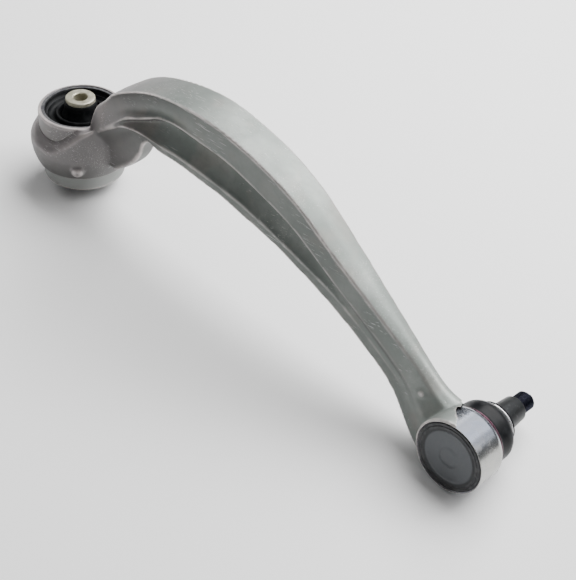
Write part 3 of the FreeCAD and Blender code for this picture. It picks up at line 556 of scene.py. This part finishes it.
def make_boot(finish):
    """The dust boot: a bead on the spigot, a round bellows, and a lip; one wall turned round the stud
    axis."""
    outline = [
        (22.55, -1.4, 0), (24.7, -1.4, 0.4), (24.7, 3.2, 0.4), (24.2, 5.6, 1.0), (24.5, 9.0, 1.6),
        (25.05, 13.2, 2.0), (24.9, 17.2, 2.0), (23.2, 20.6, 2.0), (19.8, 23.2, 1.4), (17.4, 24.2, 0.8),
        (16.6, 25.0, 0.5), (16.6, 27.4, 0.5), (17.9, 28.5, 0.5), (18.0, 29.3, 0.3), (17.2, 29.5, 0.2),
        (13.75, 29.5, 0.2), (13.75, 23.2, 0.5), (16.0, 22.4, 1.0), (19.4, 21.0, 1.5), (22.0, 18.6, 1.5),
        (23.5, 15.2, 2.0), (22.9, 10.8, 0.5), (22.55, 10.2, 0.3), (22.55, -1.4, 0),
    ]
    boot = turned("dust_boot_skin", JOINT, eased(outline, 7)[:-1], 160, 50)
    boot.data.materials.append(finish)
    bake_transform(boot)
    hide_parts("dust_boot")


def make_base_clamp(finish):
    """The boot's base clamp: three turns of wire side by side round the bead."""
    radius, wire = 25.48, 0.7
    turns = [cord_ring("clamp_turn", JOINT, radius, height, wire) for height in (-0.7, 0.75, 2.2)]
    clamp = joined("base_clamp_wire", turns)
    tidied(clamp, 60)
    ride_as(clamp, "boot_base", finish, "base_clamp_steel", "boot_base_clamp")


def make_stud(shank, thread):
    """The ball stud: ball, neck, collar, taper and tip turned round the axis, and its thread."""
    turn = np.radians(np.linspace(-47, 57.7, 40))
    sphere = np.stack([BALL_RADIUS * np.cos(turn), BALL_RADIUS * np.sin(turn)], -1)
    rest = eased([
        (8.0, 12.7, 0), (8.0, 15.6, 2), (8.5, 18.4, 2), (12.0, 22.3, 0.5), (12.3, 23.2, 0.5),
        (12.3, 30.0, 0.5), (10.5, 54.5, 0.3), (10.0, 55.0, 0.2), (7.2, 55.2, 0.2), (7.2, 58.0, 0),
    ])
    outline = np.concatenate([[(0, -11.0)], sphere, rest[1:], [(0, 58.0)]])
    stud = turned("ball_stud_skin", JOINT, outline, 128, 30)
    core = eased([
        (0, 54.9, 0), (7.12, 54.9, 0.1), (7.12, 69.6, 0.2), (6.9, 70.3, 0.3), (6.2, 70.7, 0.3),
        (1.6, 70.7, 0.5), (0, 69.9, 0),
    ])
    parts = [thread_helix(), turned("thread_core", JOINT, core, 96, 30)]
    whole = joined("stud_thread_skin", parts)
    tidied(whole, 25)
    ride_as(stud, "stud", shank, "stud_steel", "ball_stud")
    ride_as(whole, "stud", thread, "stud_steel")


def thread_helix():
    """The thread: the form of one pitch, as radius and height, carried up a helix and cut off by the
    end chamfer. Each turn's last line is joined to the first line of the turn above it."""
    start, end, steps = 55.4, 70.7, 64
    turns = (end - start) / PITCH
    angle = np.linspace(0, turns * 2 * math.pi, int(steps * turns))
    form = np.array([
        (7.1, 0.0), (7.13, 0.12), (7.95, 0.6), (8.0, 0.72), (8.0, 0.84), (7.95, 0.92), (7.13, 1.38),
    ])
    height = start - PITCH + angle[:, None] / (2 * math.pi) * PITCH + form[:, 1]
    chamfer = np.clip(6.9 + (70.6 - height) * 1.1, 6.7, 8.0)
    radius = np.minimum(form[:, 0], chamfer)
    height = np.clip(height, start - 0.3, end - 0.05)
    points = placed(JOINT, radius, np.broadcast_to(angle[:, None], radius.shape), height)
    columns = len(form)
    last = columns - 1
    body = quads(len(angle), columns)[:, [0, 3, 2, 1]]
    k = np.arange(len(angle) - steps - 1) * columns
    above = k + steps * columns
    seam = np.stack([k + last, above, above + columns, k + columns + last], -1)
    return mesh_piece("thread_helix", points, np.concatenate([body, seam]), 25)


# ---------------------------------------------------------------- bush pieces

def both_ends(name, corners, around):
    """A ring turned round the bush's axis and its mirror image at the other end, as one mesh."""
    upper = eased(corners)[:-1]
    sides = [("up", upper), ("down", upper * (1, -1))]
    rings = [turned(name + "_" + side, BUSH, line, around, 50) for side, line in sides]
    ring = joined(name, rings)
    tidied(ring, 50)
    return ring


def make_bush(rubber, sleeve):
    """The bush's moulding: a dished membrane with a bead, and the rubber jacket up the inner sleeve,
    both at each end. The sleeve is a turned tube with chamfers."""
    membrane = both_ends("bush_rubber_skin", [
        (19.0, 22.0, 0), (19.0, 25.6, 1.4), (19.6, 28.2, 1.2), (21.2, 28.8, 0.9), (22.4, 27.6, 1.2),
        (23.0, 24.6, 1.6), (25.4, 23.4, 1.6), (28.0, 24.6, 1.2), (29.4, 26.8, 0.6), (31.2, 27.4, 0.6),
        (32.2, 29.4, 0.8), (32.9, 30.6, 0.4), (33.0, 27.0, 0.2), (32.0, 22.0, 0), (19.0, 22.0, 0),
    ], 160)
    ride_as(membrane, "arm", rubber, "bush_rubber", "bush_rubber")
    hole = SLEEVE + 0.05
    jacket = both_ends("sleeve_jacket", [
        (hole, 20.2, 0), (17.4, 20.2, 0.5), (17.7, 24.2, 1.2), (16.4, 26.8, 1.6), (14.9, 30.0, 2.5),
        (14.2, 36.0, 1.5), (13.7, 38.6, 0.6), (hole, 38.9, 0.2), (hole, 20.2, 0),
    ], 128)
    ride_as(jacket, "inner_sleeve", rubber, "bush_rubber")
    upper = eased([
        (6.1, 0, 0), (6.1, 41.4, 0.3), (6.9, 42.3, 0.3), (12.3, 42.3, 0.3), (SLEEVE, 41.6, 0.3),
        (SLEEVE, 0, 0),
    ])
    tube = np.concatenate([upper, (upper * (1, -1))[::-1][1:-1]])
    skin = turned("inner_sleeve_skin", BUSH, tube, 128, 30)
    ride_as(skin, "inner_sleeve", sleeve, "sleeve_metal", "bush_inner_sleeve")


# ---------------------------------------------------------------- finishes

class Reading:
    """A node's output that sums, products and differences can be written with."""

    def __init__(self, finish, socket):
        self.finish = finish
        self.socket = socket

    def calculated(self, operation, *values):
        """A Math node's result."""
        return self.finish.node("ShaderNodeMath", {"operation": operation}, dict(enumerate(values)))

    def __add__(self, other):
        return self.calculated("ADD", self, other)

    def __radd__(self, other):
        return self.calculated("ADD", other, self)

    def __sub__(self, other):
        return self.calculated("SUBTRACT", self, other)

    def __rsub__(self, other):
        return self.calculated("SUBTRACT", other, self)

    def __mul__(self, other):
        return self.calculated("MULTIPLY", self, other)

    def __rmul__(self, other):
        return self.calculated("MULTIPLY", other, self)

    def __truediv__(self, other):
        return self.calculated("DIVIDE", self, other)

    def above(self, low, high):
        """0 under low, 1 over high, and a smooth rise between."""
        return self.finish.node("ShaderNodeMapRange", {"interpolation_type": "SMOOTHSTEP"}, {
            "Value": self, "From Min": low, "From Max": high,
        })

    def part(self, axis):
        """One of a vector's numbers: 0 for X, 1 for Y and 2 for Z."""
        return self.finish.node("ShaderNodeSeparateXYZ", {}, {0: self}, axis)


class Finish:
    """A material whose Principled shader takes fixed values, and a node maker for what changes over
    it."""

    def __init__(self, name, **fixed):
        self.material = bpy.data.materials.new(name)
        self.material.use_nodes = True
        self.nodes = self.material.node_tree.nodes
        self.links = self.material.node_tree.links
        self.shader = self.nodes["Principled BSDF"]
        self.place = self.node("ShaderNodeTexCoord", {}, {}, "Object")
        for socket, value in fixed.items():
            self.shader.inputs[socket.replace("_", " ").title()].default_value = value

    def node(self, kind, settings, values, output=0):
        """Adds a node: its settings, then its sockets' values or links; gives one of its outputs."""
        made = self.nodes.new(kind)
        for setting, value in settings.items():
            setattr(made, setting, value)
        for socket, value in values.items():
            if isinstance(value, Reading):
                self.links.new(value.socket, made.inputs[socket])
            else:
                made.inputs[socket].default_value = value
        return Reading(self, made.outputs[output])

    def noise(self, size, detail=3.0, rough=0.5, stretch=(1, 1, 1), turn=(0, 0, 0)):
        """Noise whose largest spots are about the given size in millimetres, stretched and turned."""
        turn = [math.radians(angle) for angle in turn]
        spot = self.node("ShaderNodeMapping", {}, {
            "Vector": self.place, "Scale": stretch, "Rotation": turn,
        })
        return self.node("ShaderNodeTexNoise", {}, {
            "Vector": spot, "Scale": 1 / (size * MM), "Detail": detail, "Roughness": rough,
        })

    def rings(self, along):
        """Turning rings: noise along one number only, which is given in ring widths."""
        return self.node("ShaderNodeTexNoise", {"noise_dimensions": "1D"}, {
            "W": along, "Scale": 1.0, "Detail": 3.0,
        })

    def facing(self):
        """The direction that the surface faces."""
        return self.node("ShaderNodeTexCoord", {}, {}, "Normal")

    def blend(self, share, first, second):
        """One colour turning into another as the share goes from 0 to 1."""
        sockets = {0: share, 6: first, 7: second}
        return self.node("ShaderNodeMix", {"data_type": "RGBA"}, sockets, 2)

    def drive(self, socket, value):
        """Lets a reading feed one of the shader's sockets."""
        self.links.new(value.socket, self.shader.inputs[socket])

    def raise_surface(self, height, distance):
        """Bump: the height, in units of the distance given in millimetres, tilts the surface."""
        self.drive("Normal", self.node("ShaderNodeBump", {}, {
            "Height": height, "Distance": distance * MM, "Strength": 1.0,
        }))

    def vector_maths(self, operation, values, output=0):
        """A Vector Math node's result."""
        return self.node("ShaderNodeVectorMath", {"operation": operation}, values, output)

    def round_axis(self, place):
        """Radius and height of a point about an axis, in millimetres, from Object coordinates."""
        centre, _, _, axis = place
        offset = self.vector_maths("SUBTRACT", {0: self.place, 1: list(centre * MM)})
        height = self.vector_maths("DOT_PRODUCT", {0: offset, 1: list(axis)}, "Value")
        along = self.vector_maths("SCALE", {0: list(axis), "Scale": height})
        across = self.vector_maths("SUBTRACT", {0: offset, 1: along})
        radius = self.vector_maths("LENGTH", {0: across}, "Value")
        return radius / MM, height / MM


def colour(red, green, blue):
    return (red, green, blue, 1.0)


def shifted(tint, times, plus=0.0):
    """A tint made lighter or darker: each of its numbers times one value, plus another."""
    return colour(*[plus + times * part for part in tint])


def forged_aluminium():
    """Shot-blasted forging: fine grain, a faint green cast on the arm and a pink one on the eye,
    painted shade on downward faces and in hollows, a lighter lower collar, edges lightened partly as
    wear and partly as painted highlight, nicks and long scratches."""
    metal = Finish("forged_aluminium", metallic=0.62)
    across = metal.place.part(0) / MM
    height = metal.place.part(2) / MM
    lifted = metal.facing().part(2)
    patches = metal.noise(55, 3, 0.55).above(0.38, 0.64)
    warm = metal.noise(26, 2, 0.5, turn=(20, 40, 0)).above(0.50, 0.70)
    grain = metal.noise(0.9, 4, 0.7)
    blotch = metal.noise(5, 4, 0.6).above(0.35, 0.75)
    wear_and_shading_relief = metal.node("ShaderNodeAttribute", {"attribute_name": "wear_and_shading_relief"}, {}, "Fac")
    # Convex edges: partly wear, partly painted highlight along the ridges.
    edge = wear_and_shading_relief.above(0.012, 0.09) * (0.25 + metal.noise(7, 3, 0.6) * 1.3)
    # Concave places, for painted shade in the hollows.
    hollow = (0.0 - wear_and_shading_relief).above(0.01, 0.10)
    # Faces turned downwards, for painted shade on the undersides.
    under = 1.0 - lifted.above(-0.45, 0.75)
    nicks = metal.noise(3.2, 2, 0.5).above(0.64, 0.70) * wear_and_shading_relief.above(0.0, 0.1)
    scratch = metal.noise(0.8, 2, 0.5, stretch=(0.035, 1, 1), turn=(0, 35, 12)).above(0.65, 0.69)
    cross = metal.noise(0.7, 2, 0.5, stretch=(0.05, 1, 1), turn=(0, 48, -35)).above(0.67, 0.70)
    scratches = (scratch + cross) * metal.noise(30, 2, 0.5).above(0.50, 0.60)
    base = metal.blend(patches, colour(0.215, 0.240, 0.224), colour(0.300, 0.322, 0.304))
    base = metal.blend((1.0 - across.above(40, 150)) * 0.8, base, colour(0.235, 0.205, 0.212))
    base = metal.blend(warm * 0.22, base, colour(0.36, 0.30, 0.27))
    base = metal.blend(blotch * 0.28, base, colour(0.17, 0.175, 0.17))
    # Painted shade: the undersides and the hollows are darkened.
    base = metal.blend(under * 0.72 + hollow * 0.25, base, colour(0.070, 0.074, 0.070))
    foot = (1.0 - height.above(FOOT_TOP - 0.9, FOOT_TOP - 0.3)) * (1.0 - across.above(38, 40))
    base = metal.blend(foot * 0.8, base, colour(0.27, 0.28, 0.27))
    # Edges lightened: partly wear, partly painted highlight.
    base = metal.blend(edge * 0.6, base, colour(0.70, 0.64, 0.62))
    base = metal.blend(scratches * 0.45 + nicks * 0.4, base, colour(0.72, 0.71, 0.70))
    metal.drive("Base Color", base)
    metal.drive("Roughness", 0.46 + grain * 0.10 - edge * 0.08 - scratches * 0.10)
    metal.raise_surface(grain * 0.55 + blotch * 0.3 - scratches * 0.8 - nicks * 0.9, 0.08)
    return metal.material


def turned_aluminium():
    """Turned metal: fine rings round the ball joint's axis, bright, with faint smears and spots; on the
    housing a painted dark reflection over a band of facing directions, painted shade on the side that
    faces -Y and a painted pale reflection on the side that faces +X; and a paler eye."""
    metal = Finish("turned_aluminium", metallic=1.0)
    radius, height = metal.round_axis(JOINT)
    rings = metal.rings(height * 3.1 + radius * 2.7)
    smear = metal.noise(9, 3, 0.6).above(0.35, 0.7)
    spots = metal.noise(2.2, 3, 0.6).above(0.60, 0.72)
    base = metal.blend(smear, colour(0.24, 0.26, 0.30), colour(0.38, 0.39, 0.41))
    base = metal.blend(spots * 0.35, base, colour(0.22, 0.21, 0.22))
    facing = metal.facing()
    ahead, beside = facing.part(0), facing.part(1)
    # Painted dark reflection: a band of the turned housing, picked by the direction its surface faces,
    # is darkened to a dark blue.
    painted_dark_reflection = ahead.above(-0.30, 0.05) * (1.0 - ahead.above(0.50, 0.80)) * radius.above(26, 27)
    base = metal.blend(painted_dark_reflection * 0.85, base, colour(0.045, 0.050, 0.064))
    # Painted shade: faces that turn towards -Y are darkened.
    base = metal.blend((1.0 - beside.above(-0.9, -0.6)) * 0.7, base, colour(0.11, 0.10, 0.10))
    # Painted reflection: faces that turn towards +X are lightened to a pale yellowish grey.
    base = metal.blend(ahead.above(0.60, 0.90) * 0.6, base, colour(0.44, 0.43, 0.38))
    eye = radius.above(40, 60)
    base = metal.blend(eye, base, colour(0.66, 0.66, 0.66))
    metal.drive("Base Color", base)
    metal.drive("Roughness", 0.20 + smear * 0.10 + rings * 0.06 + eye * 0.16)
    metal.raise_surface(rings, 0.012)
    return metal.material


def cap_steel():
    """Dark coated pressed steel, satin, with mottling and a light rubbed rim."""
    metal = Finish("cap_steel", metallic=0.7)
    radius, _ = metal.round_axis(JOINT)
    mottle = metal.noise(4, 4, 0.65)
    rim = radius.above(23.0, 23.8) * (1 - radius.above(27.2, 27.9))
    rubbed = rim * metal.noise(5, 2, 0.5).above(0.42, 0.6)
    speck = metal.noise(1.0, 3, 0.6).above(0.63, 0.72)
    ring = radius.above(20.6, 22.2)
    base = metal.blend(mottle, colour(0.075, 0.080, 0.086), colour(0.105, 0.110, 0.116))
    base = metal.blend(ring * 0.85, base, colour(0.022, 0.022, 0.023))
    base = metal.blend(rubbed * 0.16 + speck * 0.12, base, colour(0.16, 0.16, 0.16))
    metal.drive("Base Color", base)
    metal.drive("Roughness", 0.42 + mottle * 0.14 - ring * 0.08)
    metal.raise_surface(metal.noise(0.7, 3, 0.6), 0.02)
    return metal.material


def black_rubber(name, tint, sheen, ripple):
    """Moulded rubber: near black, satin, faint bloom and a fine mould grain."""
    rubber = Finish(name, metallic=0.0)
    bloom = rubber.noise(7, 3, 0.6).above(0.42, 0.72)
    base = rubber.blend(bloom, colour(*tint), shifted(tint, 1.7, 0.006))
    rubber.shader.inputs["Specular IOR Level"].default_value = 0.10
    rubber.drive("Base Color", base)
    rubber.drive("Roughness", sheen + bloom * 0.16)
    grain = rubber.noise(0.6, 3, 0.6)
    rubber.raise_surface(grain + rubber.noise(3.0, 2, 0.5) * ripple, 0.03)
    return rubber.material


def phosphated_steel(name, tint, shine):
    """Black phosphated or oiled steel with fine turning rings and rubbed high places."""
    metal = Finish(name, metallic=0.75)
    _, height = metal.round_axis(JOINT)
    rings = metal.rings(height * 2.3)
    rub = metal.noise(3.0, 3, 0.6).above(0.56, 0.70)
    base = metal.blend(rub * 0.4, colour(*tint), shifted(tint, 2.2, 0.05))
    metal.drive("Base Color", base)
    metal.drive("Roughness", shine + rings * 0.10 + rub * 0.05)
    metal.raise_surface(rings * 0.7 + metal.noise(0.5, 2, 0.5) * 0.6, 0.014)
    return metal.material


def plated_steel(name, tint, light, shine):
    """Plated steel: two near tones in soft blotches, fine grain, small dull specks."""
    metal = Finish(name, metallic=0.85)
    blotch = metal.noise(5, 3, 0.6).above(0.35, 0.70)
    speck = metal.noise(1.1, 3, 0.6).above(0.60, 0.70)
    base = metal.blend(blotch, colour(*tint), colour(*light))
    base = metal.blend(speck * 0.3, base, shifted(tint, 0.5))
    metal.drive("Base Color", base)
    metal.drive("Roughness", shine + blotch * 0.12)
    metal.raise_surface(metal.noise(0.6, 3, 0.6), 0.02)
    return metal.material


def moulded_plastic(name, tint):
    """Moulded plastic: satin, faint flow marks and a fine grain."""
    plastic = Finish(name, metallic=0.0)
    flow = plastic.noise(8, 2, 0.5, stretch=(1, 1, 0.3)).above(0.35, 0.7)
    plastic.drive("Base Color", plastic.blend(flow, colour(*tint), shifted(tint, 0.85)))
    plastic.drive("Roughness", 0.42 + flow * 0.10)
    plastic.raise_surface(plastic.noise(0.5, 2, 0.5), 0.015)
    return plastic.material


def studio_floor():
    """Matt pale paper with the faintest mottling."""
    paper = Finish("studio_paper", metallic=0.0, roughness=0.9)
    mottle = paper.noise(200, 2, 0.5)
    paper.drive("Base Color", paper.blend(mottle, colour(0.95, 0.95, 0.95), colour(0.97, 0.97, 0.97)))
    return paper.material


# ---------------------------------------------------------------- assembly

forged = forged_aluminium()
machined = turned_aluminium()
rubber = black_rubber("bush_rubber", (0.004, 0.0045, 0.005), 0.46, 0.6)
boot_rubber = black_rubber("boot_rubber", (0.0045, 0.005, 0.006), 0.32, 0.3)
cap = cap_steel()
shank = phosphated_steel("stud_steel", (0.009, 0.010, 0.011), 0.36)
thread = phosphated_steel("thread_steel", (0.010, 0.011, 0.022), 0.28)
sleeve = plated_steel("sleeve_metal", (0.40, 0.38, 0.29), (0.52, 0.50, 0.41), 0.45)
clamp_wire = plated_steel("base_clamp_steel", (0.07, 0.03, 0.045), (0.15, 0.07, 0.10), 0.26)

make_forging(forged, machined)
make_cap(cap)
make_boot(boot_rubber)
make_base_clamp(clamp_wire)
make_stud(shank, thread)
make_bush(rubber, sleeve)

KEPT_FINISHES = {
    "bush_outer_sleeve": plated_steel("coated_steel", (0.10, 0.10, 0.11), (0.16, 0.16, 0.16), 0.45),
    "bush_cage": moulded_plastic("cage_plastic", (0.020, 0.020, 0.022)),
    "channel_half_front": moulded_plastic("duct_plastic", (0.035, 0.034, 0.032)),
    "bush_travel_stop": moulded_plastic("stop_plastic", (0.55, 0.53, 0.48)),
    "bush_core": moulded_plastic("core_plastic", (0.03, 0.03, 0.03)),
    "ball_seat": moulded_plastic("seat_plastic", (0.62, 0.58, 0.46)),
    "seat_preload_ring": plated_steel("spring_steel", (0.22, 0.22, 0.24), (0.30, 0.30, 0.31), 0.35),
    "cap_seal_ring": black_rubber("seal_rubber", (0.010, 0.010, 0.010), 0.40, 0.0),
    "boot_top_clamp": plated_steel("bright_wire", (0.62, 0.62, 0.64), (0.78, 0.78, 0.78), 0.22),
    "boot_lip_ring": plated_steel("lip_ring_steel", (0.45, 0.45, 0.47), (0.6, 0.6, 0.6), 0.28),
}
KEPT_FINISHES["channel_half_rear"] = KEPT_FINISHES["channel_half_front"]
for node, finish in KEPT_FINISHES.items():
    for slot in frame["nodes"][node].material_slots:
        slot.material = finish


# ---------------------------------------------------------------- studio

def make_floor():
    """A wide flat sheet just under the plane that the inner sleeve and the ball housing stand on."""
    low_sleeve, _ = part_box("bush_inner_sleeve")
    low_housing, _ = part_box("arm_forging")
    slope = (low_housing.z - low_sleeve.z) / (BALL[0] * MM - low_sleeve.x)
    gap, spread = 0.0004, 6
    level = low_sleeve.z - slope * low_sleeve.x - gap
    x, y = spread * np.array([(-1, 1, 1, -1), (-1, -1, 1, 1)], float)
    points = np.stack([x, y, level + slope * x], -1) / MM
    floor = mesh_piece("floor", points, np.array([(0, 1, 2, 3)]))
    floor.data.materials.append(studio_floor())


def soft_light(name, centre, aim, size, power):
    """A soft light of the given size at a place, turned to its aim; metres and watts."""
    lamp = bpy.data.lights.new(name, "AREA")
    lamp.shape = "RECTANGLE"
    lamp.size, lamp.size_y = size
    lamp.energy = power
    light = bpy.data.objects.new(name, lamp)
    bpy.context.scene.collection.objects.link(light)
    light.location = centre
    light.rotation_mode = "QUATERNION"
    light.rotation_quaternion = (Vector(aim) - Vector(centre)).to_track_quat("-Z", "Y")


def make_camera():
    """The camera: its place and lens, and its right, up and back directions as the columns of its
    turn."""
    lens = bpy.data.cameras.new("camera")
    lens.sensor_fit = "HORIZONTAL"
    lens.sensor_width = 36
    lens.lens = 76.9
    lens.clip_start, lens.clip_end = 0.01, 50
    camera = bpy.data.objects.new("camera", lens)
    bpy.context.scene.collection.objects.link(camera)
    right = Vector((0.71654, 0.69585, 0.04858)).normalized()
    forward = Vector((-0.50647, 0.56688, -0.64972)).normalized()
    turn = Matrix((right, right.cross(forward), -forward)).transposed().to_4x4()
    camera.matrix_world = Matrix.Translation((0.75447, -0.55685, 0.62058)) @ turn
    bpy.context.scene.camera = camera


def make_world():
    """An even pale surround."""
    world = bpy.data.worlds.new("studio")
    world.use_nodes = True
    background = world.node_tree.nodes["Background"]
    background.inputs["Color"].default_value = (1, 1, 1, 1)
    background.inputs["Strength"].default_value = 0.20
    bpy.context.scene.world = world


make_floor()
make_camera()
make_world()
soft_light("key", (0.30, 0.85, 1.25), (0.22, 0, 0), (1.7, 1.3), 68)
soft_light("side", (-1.5, 0.1, 0.8), (0.1, 0, 0), (0.7, 0.7), 7)
soft_light("far", (1.3, 1.0, 0.9), (0.4, 0, 0), (1.0, 0.8), 9)

bpy.context.view_layer.update()
